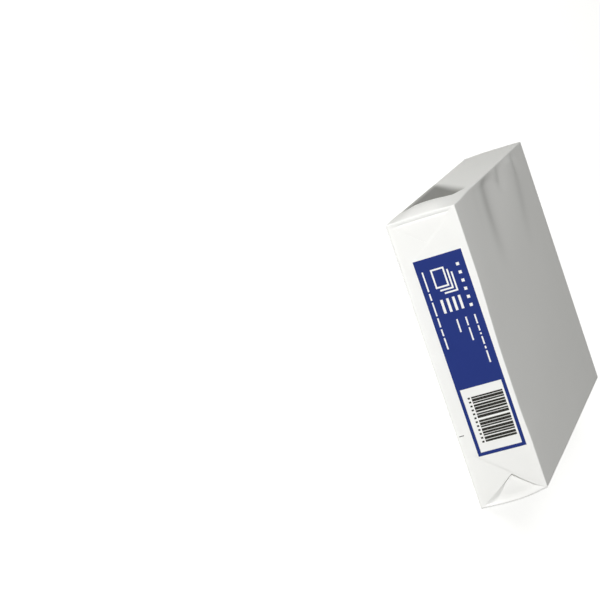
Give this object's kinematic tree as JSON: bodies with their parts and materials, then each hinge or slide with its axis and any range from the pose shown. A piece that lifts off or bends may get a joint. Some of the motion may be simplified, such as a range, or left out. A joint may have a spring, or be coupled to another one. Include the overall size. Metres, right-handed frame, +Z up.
{
  "type": "ream of paper",
  "caption": "Sealed ream of A4 office paper in a white folded paper wrapper, with envelope-folded ends and a blue printed panel on one end.",
  "frame": {"origin": "on the underside, below the middle of the whole pack's box", "axes": "+Y along the sheets' long side, away from the printed end; +X along their short side; +Z up through the stack, away from the seamed underside"},
  "size_m": [0.218, 0.2984, 0.0502],
  "materials": {
    "wrapper_paper": "white coated paper, soft sheen",
    "blue_ink": "dark blue printed paper, soft sheen",
    "black_ink": "black printed paper, soft sheen"
  },
  "bodies": {
    "root": {"wrapped_ream": "wrapper_paper", "blue_print": "blue_ink", "black_print": "black_ink"}
  },
  "joints": []
}
